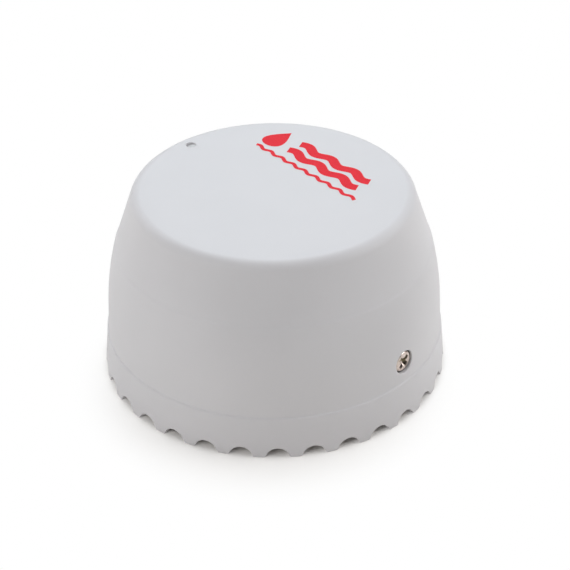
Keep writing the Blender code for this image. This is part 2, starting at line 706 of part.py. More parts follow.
def make_board(green, steel):
    outlines = [board_outline()]
    for x, y in post_places():
        outlines.append(circle(BOARD_SCREW_SHANK_RADIUS + SEAT_GAP, 12, x, y))
    reach_x = TAIL_WIDTH / 2 + SEAT_GAP
    reach_y = CONTACT_THICKNESS / 2 + SEAT_GAP
    for y in (contact_y, -contact_y):
        outlines.append(rectangle(-reach_x, reach_x, y - reach_y, y + reach_y))
    place("circuit_board", flat_mesh("circuit_board", outlines, BOARD_THICKNESS),
          at(0, 0, board_z), green)
    head_top = board_top + FINE_GAP + BOARD_SCREW_HEAD_HEIGHT
    length = BOARD_SCREW_HEAD_HEIGHT + BOARD_SCREW_LENGTH
    profile = screw_profile(BOARD_SCREW_HEAD_RADIUS, BOARD_SCREW_HEAD_HEIGHT,
                            BOARD_SCREW_SHANK_RADIUS, length)
    for index, (x, y) in enumerate(post_places()):
        name = f"pcb_screw_{index + 1}"
        screw = turned(name, profile, 12, at(x, y, head_top), steel)
        cross_recess(screw, f"{name}_recess", BOARD_SCREW_HEAD_RADIUS, BOARD_SCREW_HEAD_HEIGHT,
                     at(x, y, head_top))


# Cell, holder and contacts

def make_holder(black):
    height = cell_z + HOLDER_GRIP - holder_z
    outline = rounded_rectangle(holder_half_width, holder_half_length, HOLDER_CORNER, 4)
    holder = place("battery_holder", flat_mesh("battery_holder", [outline], height),
                   at(0, 0, holder_z), black)
    trough = cylinder_mesh("trough", trough_radius, 2 * bay_half, 32)
    cut(holder, "trough", trough, at(0, -bay_half, cell_z) @ TO_Y)
    # The mouth is narrower than the cell, so the walls snap over it
    mouth = math.sqrt(trough_radius ** 2 - HOLDER_GRIP ** 2)
    opening = box_mesh("bay_mouth", -mouth, mouth, -bay_half, bay_half, cell_z,
                       cell_z + 2 * HOLDER_GRIP)
    cut(holder, "bay_mouth", opening, at(0, 0, 0))
    reach = TAIL_WIDTH / 2 + SEAT_GAP
    for index, side in enumerate((1, -1)):
        slot_y = sorted((side * contact_inner_y, side * bay_half))
        slot = box_mesh("tail_slot", -reach, reach, *slot_y, holder_z - HOLDER_FLOOR, cell_z)
        cut(holder, f"tail_slot_{index + 1}", slot, at(0, 0, 0))


def make_cell(wrap):
    # Positive nub at the top of the profile, flat negative end at local z = 0
    body = CELL_LENGTH - CELL_NUB_LENGTH
    edge = CELL_RADIUS * 0.09
    profile = [(0.0, CELL_LENGTH), (CELL_NUB_RADIUS * 0.85, CELL_LENGTH),
               (CELL_NUB_RADIUS, CELL_LENGTH - CELL_NUB_LENGTH * 0.3), (CELL_NUB_RADIUS, body),
               (CELL_RADIUS - edge, body), (CELL_RADIUS, body - edge), (CELL_RADIUS, edge),
               (CELL_RADIUS - edge, 0.0), (0.0, 0.0)]
    turned("battery", profile, 32, at(0, cell_end_y - CELL_LENGTH, cell_z) @ TO_Y, wrap)


def contact_outline(tail_length):
    # Local x is up and local y is across, seen along the plate's own axis
    half = CONTACT_SIZE / 2
    centre = half - CONTACT_CORNER
    tail_end = -half - tail_length
    outline = arc(-centre, centre, CONTACT_CORNER, 90.0, 180.0, 3)
    outline += [(-half, TAIL_WIDTH / 2), (tail_end, TAIL_WIDTH / 2), (tail_end, -TAIL_WIDTH / 2),
                (-half, -TAIL_WIDTH / 2)]
    outline += arc(-centre, -centre, CONTACT_CORNER, 180.0, 270.0, 3)
    outline += arc(centre, -centre, CONTACT_CORNER, -90.0, 0.0, 3)
    outline += arc(centre, centre, CONTACT_CORNER, 0.0, 90.0, 3)
    return outline


def spring_points(length):
    # A cone of wire turns, from the wide foot on the plate to the tip on the cell
    per_turn = 12
    count = per_turn * SPRING_TURNS
    points = []
    for step in range(count + 1):
        share = step / count
        angle = 2 * math.pi * step / per_turn
        radius = SPRING_FOOT_RADIUS + (SPRING_TIP_RADIUS - SPRING_FOOT_RADIUS) * share
        points.append((radius * math.cos(angle), radius * math.sin(angle), length * share))
    return points


def make_contacts(steel):
    tail = cell_z - CONTACT_SIZE / 2 - board_z + TAIL_PROUD
    for name, y in (("positive_plate", contact_y), ("negative_plate", -contact_y)):
        place(name, flat_mesh(name, [contact_outline(tail)], CONTACT_THICKNESS),
              at(0, y - CONTACT_THICKNESS / 2, cell_z) @ TO_Y, steel)
    length = SPRING_SPACE - 2 * FINE_GAP - SPRING_WIRE
    foot_y = FINE_GAP + SPRING_WIRE / 2 - contact_inner_y
    place("negative_spring", wire_mesh("negative_spring", spring_points(length), SPRING_WIRE),
          at(0, foot_y, cell_z) @ TO_Y, steel)


# Indicator

def make_indicator(lens, clear):
    dome_z = LED_HEIGHT - LED_RADIUS
    profile = arc(0.0, dome_z, LED_RADIUS, 90.0, 0.0, 4)
    profile[0] = (0.0, LED_HEIGHT)
    profile += [(LED_RADIUS, LED_FLANGE_HEIGHT), (LED_FLANGE_RADIUS, LED_FLANGE_HEIGHT),
                (LED_FLANGE_RADIUS, 0.0), (0.0, 0.0)]
    turned("indicator_led", profile, 16, at(led_x, LED_OFFSET, board_top + SEAT_GAP), lens)
    pipe_top = BODY_HEIGHT - PIPE_SINK
    shoulder = pipe_top - PIPE_TIP_LENGTH
    pipe_end = led_top + SEAT_GAP
    profile = [(0.0, pipe_top), (PIPE_TIP_RADIUS, pipe_top), (PIPE_TIP_RADIUS, shoulder),
               (PIPE_RADIUS, shoulder), (PIPE_RADIUS, pipe_end), (0.0, pipe_end)]
    turned("light_pipe", profile, 16, at(led_x, LED_OFFSET, 0), clear)


# Parts on the board

def make_chip(black):
    z = board_top + FINE_GAP + CHIP_STANDOFF
    x = led_side_x
    y = LED_OFFSET + LED_FLANGE_RADIUS + PART_SPACING + CHIP_LENGTH / 2
    chip = place("controller_chip", box_mesh("controller_chip", -CHIP_WIDTH / 2, CHIP_WIDTH / 2,
                                             -CHIP_LENGTH / 2, CHIP_LENGTH / 2, 0.0, CHIP_HEIGHT),
                 at(x, y, z), black)
    middle = CHIP_HEIGHT / 2
    inner = CHIP_WIDTH / 2 - CHIP_LEAD_THICKNESS
    knee = CHIP_WIDTH / 2 + (CHIP_SPAN - CHIP_WIDTH) / 5
    toe = CHIP_SPAN / 2
    thick = CHIP_LEAD_THICKNESS
    foot = -CHIP_STANDOFF
    outline = [(inner, middle), (knee, middle), (knee + thick, foot + thick), (toe, foot + thick),
               (toe, foot), (knee, foot), (knee - thick, middle - thick), (inner, middle - thick)]
    lead = flat_mesh("lead", [outline], CHIP_LEAD_WIDTH)
    leads = bmesh.new()
    for turn_over in (0.0, math.pi):
        for index in range(CHIP_LEADS):
            along = (index - (CHIP_LEADS - 1) / 2) * CHIP_LEAD_PITCH + CHIP_LEAD_WIDTH / 2
            copy = lead.copy()
            copy.transform(Matrix.Rotation(turn_over, 4, "Z") @ at(0, along, 0) @ STAND_UP)
            leads.from_mesh(copy)
            bpy.data.meshes.remove(copy)
    add(chip, "leads", finish_mesh("leads", leads), at(x, y, z))
    bpy.data.meshes.remove(lead)


def make_crystal(steel):
    half_x = CRYSTAL_WIDTH / 2
    half_y = CRYSTAL_LENGTH / 2
    foot = rounded_rectangle(half_x, half_y, CRYSTAL_CORNER, 2)
    lid = rounded_rectangle(half_x - CRYSTAL_RIM, half_y - CRYSTAL_RIM, CRYSTAL_CORNER, 2)
    y = LED_OFFSET - LED_FLANGE_RADIUS - PART_SPACING - half_y
    matrix = at(led_side_x, y, board_top + FINE_GAP)
    crystal = place("crystal", flat_mesh("crystal", [foot], CRYSTAL_FOOT), matrix, steel)
    lid_height = CRYSTAL_FOOT / 2 + CRYSTAL_LID
    add(crystal, "crystal_lid", flat_mesh("crystal_lid", [lid], lid_height),
        matrix @ at(0, 0, CRYSTAL_FOOT / 2))


def make_antenna(copper):
    # Turns along Y. A half turn more lets both ends run straight down to the board
    per_turn = 10
    count = per_turn * COIL_TURNS + per_turn // 2
    centre_z = COIL_LIFT + COIL_WIRE / 2 + COIL_RADIUS
    end_z = COIL_WIRE / 2
    start_y = -COIL_LENGTH / 2
    points = [(COIL_RADIUS, start_y, end_z)]
    for step in range(count + 1):
        angle = 2 * math.pi * step / per_turn
        y = start_y + COIL_LENGTH * step / count
        points.append((COIL_RADIUS * math.cos(angle), y, centre_z + COIL_RADIUS * math.sin(angle)))
    points.append((-COIL_RADIUS, start_y + COIL_LENGTH, end_z))
    y = -CAPACITOR_RADIUS - PART_SPACING / 2
    place("antenna_coil", wire_mesh("antenna_coil", points, COIL_WIRE),
          at(lug_side_x, y, board_top + FINE_GAP), copper)


def make_capacitor(sleeve):
    # A can with a rounded top edge and a groove rolled round its foot
    groove_z = CAPACITOR_HEIGHT * 0.18
    inner = CAPACITOR_RADIUS - CAPACITOR_GROOVE
    profile = [(0.0, CAPACITOR_HEIGHT), (inner, CAPACITOR_HEIGHT),
               (CAPACITOR_RADIUS, CAPACITOR_HEIGHT - CAPACITOR_GROOVE),
               (CAPACITOR_RADIUS, groove_z + 2 * CAPACITOR_GROOVE),
               (inner, groove_z + CAPACITOR_GROOVE), (inner, groove_z - CAPACITOR_GROOVE),
               (CAPACITOR_RADIUS, groove_z - 2 * CAPACITOR_GROOVE), (CAPACITOR_RADIUS, 0.0),
               (0.0, 0.0)]
    y = (COIL_LENGTH + COIL_WIRE + PART_SPACING) / 2
    turned("capacitor", profile, 20, at(lug_side_x, y, board_top + SEAT_GAP), sleeve)


clear_scene()
parts = new_collection("leak_sensor")
tools = new_collection("leak_sensor_tools")
root = bpy.data.objects.new("leak_sensor_origin", None)
parts.objects.link(root)

rubber = new_material("seal_rubber", (0.03, 0.03, 0.03), 0.8)
nickel = new_material("nickel_steel", (0.72, 0.68, 0.62), 0.28, 1.0)
steel = new_material("tinned_steel", (0.75, 0.75, 0.74), 0.35, 1.0)
brass = new_material("brass", (0.78, 0.60, 0.28), 0.35, 1.0)
black = new_material("black_plastic", (0.02, 0.02, 0.02), 0.5)

make_housing()
make_base()
make_seals(rubber)
make_side_screw(nickel, brass)
make_probes(nickel, brass)
make_board(new_material("board_green", (0.02, 0.16, 0.07), 0.45), steel)
make_holder(black)
make_cell(new_material("cell_wrap", (0.10, 0.16, 0.30), 0.4))
make_contacts(steel)
make_indicator(new_material("led_lens", (0.75, 0.12, 0.10), 0.2),
               new_material("pipe_acrylic", (0.55, 0.55, 0.56), 0.15))
make_chip(black)
make_crystal(steel)
make_antenna(new_material("copper_wire", (0.80, 0.42, 0.22), 0.35, 1.0))
make_capacitor(new_material("capacitor_sleeve", (0.05, 0.06, 0.09), 0.4))

for piece in parts.objects:
    if piece.type == "MESH":
        shade(piece)
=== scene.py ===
import json
import math

import bmesh
import bpy
from mathutils import Matrix, Vector


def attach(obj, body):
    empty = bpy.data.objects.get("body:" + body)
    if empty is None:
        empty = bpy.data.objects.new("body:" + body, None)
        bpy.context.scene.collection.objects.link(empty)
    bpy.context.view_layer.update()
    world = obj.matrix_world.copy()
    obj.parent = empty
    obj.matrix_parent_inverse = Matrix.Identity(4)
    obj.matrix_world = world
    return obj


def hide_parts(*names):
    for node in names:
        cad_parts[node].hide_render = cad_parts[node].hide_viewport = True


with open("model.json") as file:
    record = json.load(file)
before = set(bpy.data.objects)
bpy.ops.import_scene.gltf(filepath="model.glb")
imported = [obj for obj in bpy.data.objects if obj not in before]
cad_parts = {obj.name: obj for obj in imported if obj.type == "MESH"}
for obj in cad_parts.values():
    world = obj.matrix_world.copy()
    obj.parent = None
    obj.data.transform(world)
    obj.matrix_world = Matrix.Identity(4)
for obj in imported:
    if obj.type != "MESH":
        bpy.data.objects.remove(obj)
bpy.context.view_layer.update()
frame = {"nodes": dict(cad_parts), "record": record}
mm = 0.001
print("frame loaded:", len(frame["nodes"]), "nodes")


# Helpers for modelling

def pickOnly(piece):
    bpy.ops.object.select_all(action="DESELECT")
    piece.select_set(True)
    bpy.context.view_layer.objects.active = piece


def applyPlace(piece):
    pickOnly(piece)
    bpy.ops.object.transform_apply(location=True, rotation=True, scale=True)


def applyModifier(piece, kind, settings):
    step = piece.modifiers.new(kind.lower(), kind)
    for name, value in settings.items():
        setattr(step, name, value)
    pickOnly(piece)
    bpy.ops.object.modifier_apply(modifier=step.name)


def combine(piece, tool, operation):
    applyModifier(piece, "BOOLEAN", {"operation": operation, "solver": "EXACT", "object": tool})
    bpy.data.objects.remove(tool, do_unlink=True)


def loft(name, rings):
    # A circle extruded ring by ring. Each vertex remembers its column, and both ends are closed
    bpy.ops.object.select_all(action="DESELECT")
    bpy.ops.mesh.primitive_circle_add(vertices=len(rings[0]), radius=mm, fill_type="NOTHING")
    piece = bpy.context.active_object
    piece.name = name
    bpy.ops.object.mode_set(mode="EDIT")
    bpy.ops.mesh.select_mode(type="VERT")
    bpy.ops.mesh.select_all(action="SELECT")
    work = bmesh.from_edit_mesh(piece.data)
    column = work.verts.layers.int.new("column")
    work.verts.ensure_lookup_table()
    for index, vert in enumerate(work.verts):
        vert[column] = index
    bmesh.update_edit_mesh(piece.data)
    for number, ring in enumerate(rings):
        if number:
            bpy.ops.mesh.extrude_edges_indiv()
        work = bmesh.from_edit_mesh(piece.data)
        column = work.verts.layers.int["column"]
        for vert in work.verts:
            if vert.select:
                vert.co = ring[vert[column]]
        bmesh.update_edit_mesh(piece.data)
    work = bmesh.from_edit_mesh(piece.data)
    work.verts.layers.int.remove(work.verts.layers.int["column"])
    bmesh.update_edit_mesh(piece.data)
    bpy.ops.mesh.select_all(action="SELECT")
    bpy.ops.mesh.fill_holes(sides=0)
    bpy.ops.mesh.select_all(action="SELECT")
    bpy.ops.mesh.normals_make_consistent(inside=False)
    bpy.ops.object.mode_set(mode="OBJECT")
    return piece


def circleRing(radius, z, count):
    turn = 2 * math.pi / count
    return [(radius * math.cos(turn * i), radius * math.sin(turn * i), z) for i in range(count)]


def arcPoints(centre, radius, start, end, steps):
    points = []
    for step in range(steps + 1):
        angle = math.radians(start + (end - start) * step / steps)
        points.append((centre[0] + radius * math.cos(angle), centre[1] + radius * math.sin(angle)))
    return points


def smoothShade(piece, angle=35):
    pickOnly(piece)
    bpy.ops.object.shade_smooth_by_angle(angle=math.radians(angle))


def mix(a, b, share):
    return a + (b - a) * share


def easeStep(share):
    return share * share * (3 - 2 * share)


def finishPiece(piece, material, slot, *nodes):
    piece.data.materials.clear()
    piece.data.materials.append(material)
    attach(piece, "root")
    if nodes:
        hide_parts(*nodes)
    print("made", piece.name, "with", len(piece.data.polygons), "faces")


# Helpers for materials

class Wire:
    # One output socket of a material. Sums on it add Math nodes to the same tree,
    # and its add method adds a node of any other kind

    def __init__(self, tree, socket=None):
        self.tree = tree
        self.socket = socket

    def add(self, kind, settings=None, values=None, output=0):
        node = self.tree.nodes.new(kind)
        for name, value in (settings or {}).items():
            setattr(node, name, value)
        for name, value in (values or {}).items():
            self.feed(node.inputs[name], value)
        return Wire(self.tree, node.outputs[output])

    def feed(self, socket, value):
        if isinstance(value, Wire):
            self.tree.links.new(value.socket, socket)
        else:
            socket.default_value = value

    def math(self, operation, first, second=0.0):
        return self.add("ShaderNodeMath", {"operation": operation}, {0: first, 1: second})

    def __add__(self, other):
        return self.math("ADD", self, other)

    def __radd__(self, other):
        return self.math("ADD", other, self)

    def __sub__(self, other):
        return self.math("SUBTRACT", self, other)

    def __rsub__(self, other):
        return self.math("SUBTRACT", other, self)

    def __mul__(self, other):
        return self.math("MULTIPLY", self, other)

    def __rmul__(self, other):
        return self.math("MULTIPLY", other, self)

    def sine(self):
        return self.math("SINE", self)

    def axis(self, number):
        # One of a vector's three parts
        return self.add("ShaderNodeSeparateXYZ", None, {0: self}, number)

    def distance(self, point=(0.0, 0.0, 0.0)):
        # From the point to where the vector leads
        return self.add("ShaderNodeVectorMath", {"operation": "DISTANCE"}, {0: self, 1: point}, 1)

    def noise(self, size, detail=2.0):
        # A grain of the given size in metres, from 0 to 1
        values = {"Vector": self, "Scale": 1.0 / size, "Detail": detail}
        return self.add("ShaderNodeTexNoise", None, values)

    def span(self, low=0.3, high=0.7):
        # 0 below low and 1 above high, with a smooth change between. Without numbers it suits a grain
        settings = {"interpolation_type": "SMOOTHSTEP"}
        return self.add("ShaderNodeMapRange", settings, {"Value": self, 1: low, 2: high})

    def tint(self, first, second):
        # From the first colour at 0 to the second at 1. Either may be a wire
        ends = [colour if isinstance(colour, Wire) else (*colour, 1.0) for colour in (first, second)]
        return self.add("ShaderNodeMix", {"data_type": "RGBA"}, {"Factor": self, 6: ends[0], 7: ends[1]}, 2)

    def bump(self, depth):
        return self.add("ShaderNodeBump", None, {"Height": self, "Distance": depth})


def startMaterial(name, roughness, metallic=0.0, **fixed):
    # Gives the material, its start wire on Object coordinates and its shader's inputs
    material = bpy.data.materials.new(name)
    material.use_nodes = True
    tree = material.node_tree
    inputs = tree.nodes["Principled BSDF"].inputs
    inputs["Roughness"].default_value = roughness
    inputs["Metallic"].default_value = metallic
    for socket, value in fixed.items():
        inputs[socket.replace("_", " ")].default_value = value
    place = Wire(tree).add("ShaderNodeTexCoord", None, None, 3)
    return material, place, inputs


def darken(colour, share):
    return [channel * share for channel in colour]


def mouldedPlastic(name, colour, grain=0.22 * mm, depth=0.012 * mm, roughness=0.5):
    # Spark-eroded mould texture, with slow changes of tone and sheen over the surface
    material, place, inputs = startMaterial(name, roughness, IOR=1.53)
    fine = place.noise(grain, 3.0)
    cloud = place.noise(grain * 70)
    darker = darken(colour, 0.97)
    place.feed(inputs["Base Color"], (cloud * 0.7 + fine * 0.3).span().tint(darker, colour))
    place.feed(inputs["Roughness"], roughness - 0.04 + cloud * 0.08 + fine * 0.06)
    place.feed(inputs["Normal"], fine.bump(depth))
    return material


def turnedMetal(name, colour, roughness, grain=0.05 * mm):
    # Bright metal with fine wear in its sheen
    material, place, inputs = startMaterial(name, roughness, 1.0)
    scuff = place.noise(grain * 10, 4.0)
    fine = place.noise(grain)
    place.feed(inputs["Base Color"], scuff.span(0.35, 0.65).tint(darken(colour, 0.82), colour))
    place.feed(inputs["Roughness"], roughness + scuff * 0.15 - 0.05)
    place.feed(inputs["Normal"], fine.bump(0.002 * mm))
    return material


# Camera: the photograph's, by its place round the object's origin

view = {
    "turn": 41.82,               # degrees round the object from looking along +Y
    "tilt": 33.878,              # degrees it looks down
    "roll": -0.355,
    "away": 304.528 * mm,        # from the origin, along the view
    "right": 2.039 * mm,
    "up": 12.410 * mm,
    "lens": 99.264,
    "sensor": 36.0,
}


def makeCamera():
    data = bpy.data.cameras.new("photoCamera")
    data.lens = view["lens"]
    data.sensor_width = view["sensor"]
    data.clip_start = 0.01
    camera = bpy.data.objects.new("photoCamera", data)
    bpy.context.scene.collection.objects.link(camera)
    aim = Matrix.Rotation(math.radians(view["turn"]), 4, "Z")
    aim = aim @ Matrix.Rotation(math.radians(90 - view["tilt"]), 4, "X")
    stand = aim @ Vector((view["right"], view["up"], view["away"]))
    roll = Matrix.Rotation(math.radians(view["roll"]), 4, "Z")
    camera.matrix_world = Matrix.Translation(stand) @ aim @ roll
    bpy.context.scene.camera = camera


makeCamera()
print("camera placed")


# Housing: a turned cap with a notched skirt

cap = {
    "radius": 32.5 * mm,         # at the floor
    "height": 36.3 * mm,
    "lowerStepZ": 7.9 * mm,
    "upperStepZ": 25.4 * mm,
    "lowerStep": 0.21 * mm,
    "upperStep": 0.08 * mm,
    "lowerShoulder": 0.34 * mm,  # height of the step's slope
    "upperShoulder": 0.5 * mm,
    "skirtDraft": 5.5,           # degrees
    "bandDraft": 3.35,
    "capDraft": 18.9,
    "crown": 1.19 * mm,          # how far the band bends in below the upper step
    "crownZ": 14.1 * mm,
    "rim": 2.15 * mm,
    "innerRim": 0.8 * mm,
    "wall": 2.0 * mm,
    "topWall": 2.2 * mm,
    "notches": 31,
    "notchStart": -0.7,          # degrees, middle of the notch nearest the side screw
    "notchRadius": 2.2 * mm,
    "notchHeight": 1.86 * mm,
    "toothCorner": 0.5 * mm,
    "lip": 0.16 * mm,            # rounding along the notches' edges
    "evenZ": 2.9 * mm,           # above this the rings are level
    "flatRadius": 18.5 * mm,     # the top and the ceiling are one face inside this
    "topRing": 0.6,              # share of the way from there to the rim
    "capRings": (33.2 * mm, 31.2 * mm, 29.2 * mm, 27.2 * mm),
    "bandRingDown": 0.7 * mm,    # from the upper step to the band's first ring
    "bandRingStep": 1.0 * mm,
    "skirtRings": (7.0 * mm, 5.6 * mm, 4.2 * mm),
    "innerRing": 19.8 * mm,
    "footRings": (0.66, 0.33, 0.0),  # shares of the way from the lips to evenZ
}


def draft(degrees):
    return math.tan(math.radians(degrees))


def skirtRadius(z):
    return cap["radius"] - z * draft(cap["skirtDraft"])


def bandRadius(z):
    foot = skirtRadius(cap["lowerStepZ"]) - cap["lowerStep"]
    radius = foot - (z - cap["lowerStepZ"]) * draft(cap["bandDraft"])
    if z > cap["crownZ"]:
        radius -= cap["crown"] * ((z - cap["crownZ"]) / (cap["upperStepZ"] - cap["crownZ"])) ** 2
    return radius


def capRadius(z):
    foot = bandRadius(cap["upperStepZ"]) - cap["upperStep"]
    return foot - (z - cap["upperStepZ"]) * draft(cap["capDraft"])


def cavityRadius(z):
    if z >= cap["upperStepZ"]:
        return capRadius(z) - cap["wall"]
    if z >= cap["lowerStepZ"]:
        return bandRadius(z) - cap["wall"]
    foot = cap["radius"] - cap["wall"]
    return mix(foot, bandRadius(cap["lowerStepZ"]) - cap["wall"], z / cap["lowerStepZ"])


def footColumns():
    # Angle and height of each column's foot round the skirt, with the way into the material
    radius = cap["radius"]
    corner = cap["toothCorner"]
    archZ = cap["notchHeight"] - cap["notchRadius"]
    lift = corner - archZ
    cornerY = math.sqrt((cap["notchRadius"] + corner) ** 2 - lift ** 2)
    lean = math.degrees(math.atan2(lift, cornerY))
    pitch = 2 * math.pi / cap["notches"]
    start = math.radians(cap["notchStart"])
    halfTooth = radius * pitch / 2 - cornerY
    half = []
    for share in (0.0, 0.5):
        half.append((-cornerY - halfTooth * (1 - share), 0.0, 0.0, 1.0))
    for y, z in arcPoints((-cornerY, corner), corner, -90.0, -lean, 5):
        half.append((y, z, (-cornerY - y) / corner, (corner - z) / corner))
    for y, z in arcPoints((0.0, archZ), cap["notchRadius"], 180.0 - lean, 90.0, 8)[1:]:
        half.append((y, z, y / cap["notchRadius"], (z - archZ) / cap["notchRadius"]))
    whole = half + [(-y, z, -ny, nz) for y, z, ny, nz in reversed(half[1:-1])]
    columns = []
    for index in range(cap["notches"]):
        for y, z, ny, nz in whole:
            columns.append((start + pitch * index + y / radius, z, ny / radius, nz))
    return columns


def footRing(columns, offset, radiusAt, share=0.0):
    # A ring set back from the foot's outline, or part of the way from there to the level rings
    ring = []
    for angle, foot, turn, rise in columns:
        bearing = angle + turn * offset * (1 - share)
        z = mix(foot + rise * offset, cap["evenZ"], share)
        radius = radiusAt(z)
        ring.append((radius * math.cos(bearing), radius * math.sin(bearing), z))
    return ring


def levelRing(columns, radius, z):
    return [(radius * math.cos(angle), radius * math.sin(angle), z) for angle, foot, turn, rise in columns]


def outerProfile():
    # From the flat of the top down to the first level ring above the notches
    turn = 90.0 - cap["capDraft"]
    tangent = cap["rim"] * draft(turn / 2)
    corner = capRadius(cap["height"])
    profile = [(cap["flatRadius"], cap["height"])]
    profile.append((mix(cap["flatRadius"], corner - tangent, cap["topRing"]), cap["height"]))
    centre = (corner - tangent, cap["height"] - cap["rim"])
    profile += arcPoints(centre, cap["rim"], 90.0, cap["capDraft"], 18)
    for z in cap["capRings"]:
        profile.append((capRadius(z), z))
    profile += shoulderPoints(cap["upperStepZ"], cap["upperShoulder"], capRadius, bandRadius)
    level = cap["upperStepZ"] - cap["bandRingDown"]
    while level > cap["lowerStepZ"] + 2 * cap["lowerShoulder"]:
        profile.append((bandRadius(level), level))
        level -= cap["bandRingStep"]
    profile += shoulderPoints(cap["lowerStepZ"], cap["lowerShoulder"], bandRadius, skirtRadius)
    for z in (*cap["skirtRings"], cap["evenZ"]):
        profile.append((skirtRadius(z), z))
    return profile


def shoulderPoints(z, slope, above, below):
    # The step's slope, softened at both ends
    points = []
    steps = 6
    for step in range(steps + 1):
        share = step / steps
        level = z + slope * (1 - share)
        points.append((mix(above(level), below(level), easeStep(share)), level))
    return points


def innerProfile():
    # From the first level ring inside the skirt up to the flat of the ceiling
    ceiling = cap["height"] - cap["topWall"]
    fillet = cap["innerRim"]
    tangent = fillet * draft((90.0 - cap["capDraft"]) / 2)
    levels = (cap["evenZ"], cap["lowerStepZ"], cap["crownZ"], cap["innerRing"], cap["upperStepZ"])
    profile = [(cavityRadius(z), z) for z in levels]
    centre = (cavityRadius(ceiling) - tangent, ceiling - fillet)
    profile += arcPoints(centre, fillet, cap["capDraft"], 90.0, 6)
    profile.append((cap["flatRadius"], ceiling))
    return profile


def makeShell():
    columns = footColumns()
    lip = cap["lip"]
    rings = [levelRing(columns, radius, z) for radius, z in outerProfile()]
    for share in cap["footRings"]:
        rings.append(footRing(columns, lip, skirtRadius, share))
    steps = 4
    turns = [math.radians(90.0 * step / steps) for step in range(steps + 1)]
    for turn in turns[1:]:
        inset = lip * (1 - math.cos(turn))
        rings.append(footRing(columns, lip * (1 - math.sin(turn)), lambda z: skirtRadius(z) - inset))
    for turn in turns[::-1]:
        inset = lip * (1 - math.cos(turn))
        rings.append(footRing(columns, lip * (1 - math.sin(turn)), lambda z: cavityRadius(z) + inset))
    rings.append(footRing(columns, lip, cavityRadius, 0.5))
    rings += [levelRing(columns, radius, z) for radius, z in innerProfile()]
    return loft("housing_cap", rings)


shell = makeShell()
print("shell lofted:", len(shell.data.polygons), "faces")


# The housing's bosses, ledges and holes

fitting = {
    "screwZ": 12.2 * mm,
    "screwSink": 0.35 * mm,      # the screw's face below the wall
    "screwHead": 1.0 * mm,
    "sealRoom": 0.8 * mm,        # under the head
    "bossLand": 1.1 * mm,        # plastic under the seal
    "bossRadius": 3.5 * mm,
    "headHole": 2.23 * mm,
    "shankHole": 1.15 * mm,
    "holeLip": 0.16 * mm,
    "ledgeZ": 6.0 * mm,
    "ledgeThick": 1.0 * mm,
    "ledgeDepth": 1.3 * mm,
    "ledgeSpan": 24.0,           # degrees
    "ledgeMiddles": (60.0, 180.0, 300.0),
    "lampInset": 3.15 * mm,      # from the corner where the cap's wall would meet the top
    "lampAside": 1.56 * mm,      # from the X axis
    "lampHole": 0.97 * mm,
    "lampLip": 0.12 * mm,
    "guideHole": 1.65 * mm,
    "guideShoulder": 2.45 * mm,  # below the top
    "guideBoss": 2.75 * mm,
    "guideBossLength": 6.0 * mm,
    "lipEnd": 12.0,              # degrees, how near a rounded edge comes to the face
    "lipOver": (1.5, 0.24),      # the cutting tools' next ring, outwards and above the face, in lips
    "toolOver": 2.0 * mm,        # how far they reach past the plastic
}
screwFace = bandRadius(fitting["screwZ"]) - fitting["screwSink"]
sealFloor = screwFace - fitting["screwHead"] - fitting["sealRoom"]
bossFace = sealFloor - fitting["bossLand"]
lampX = fitting["lampInset"] - capRadius(cap["height"])
ceilingZ = cap["height"] - cap["topWall"]


def alongX(radius, x, count=64):
    # A ring round the side screw's axis
    return [(x, y, fitting["screwZ"] + rise) for y, rise, flat in circleRing(radius, 0.0, count)]


def onWall(radius, depth, count=64):
    # The same ring laid on the housing's wall, or below it
    ring = []
    for y, rise, flat in circleRing(radius, 0.0, count):
        z = fitting["screwZ"] + rise
        wall = bandRadius(z)
        ring.append((math.sqrt(wall * wall - y * y) - depth, y, z))
    return ring


def aboutLamp(radius, z, count=48):
    return [(lampX + x, fitting["lampAside"] + y, z) for x, y, flat in circleRing(radius, z, count)]


def lipSteps(lip, steps=6):
    # Outward reach and depth of a rounded edge, from the hole's wall nearly to the face
    points = []
    for step in range(steps + 1):
        turn = math.radians(mix(90.0, fitting["lipEnd"], step / steps))
        points.append((lip * (1 - math.sin(turn)), lip * (1 - math.cos(turn))))
    return points


def makeLedge(middle):
    steps = 16
    z = fitting["ledgeZ"]
    top = z + fitting["ledgeThick"]
    inner = cavityRadius(top) - fitting["ledgeDepth"]
    outer = cavityRadius(z) + cap["wall"] / 2
    rings = []
    for step in range(steps + 1):
        angle = math.radians(middle + fitting["ledgeSpan"] * (step / steps - 0.5))
        across = [(inner, z), (outer, z), (outer, top), (inner, top)]
        turn = (math.cos(angle), math.sin(angle))
        rings.append([(radius * turn[0], radius * turn[1], level) for radius, level in across])
    return loft("ledge", rings)


def joinPieces(pieces):
    bpy.ops.object.select_all(action="DESELECT")
    for piece in pieces:
        piece.select_set(True)
    bpy.context.view_layer.objects.active = pieces[0]
    bpy.ops.object.join()
    return pieces[0]


def addBosses(piece):
    wallMiddle = cavityRadius(fitting["screwZ"]) + cap["wall"] / 2
    screwBoss = loft("screwBoss", [alongX(fitting["bossRadius"], x) for x in (bossFace, wallMiddle)])
    low = ceilingZ - fitting["guideBossLength"]
    high = ceilingZ + cap["topWall"] / 2
    guideBoss = loft("guideBoss", [aboutLamp(fitting["guideBoss"], z) for z in (low, high)])
    ledges = [makeLedge(middle) for middle in fitting["ledgeMiddles"]]
    combine(piece, joinPieces([screwBoss, guideBoss] + ledges), "UNION")


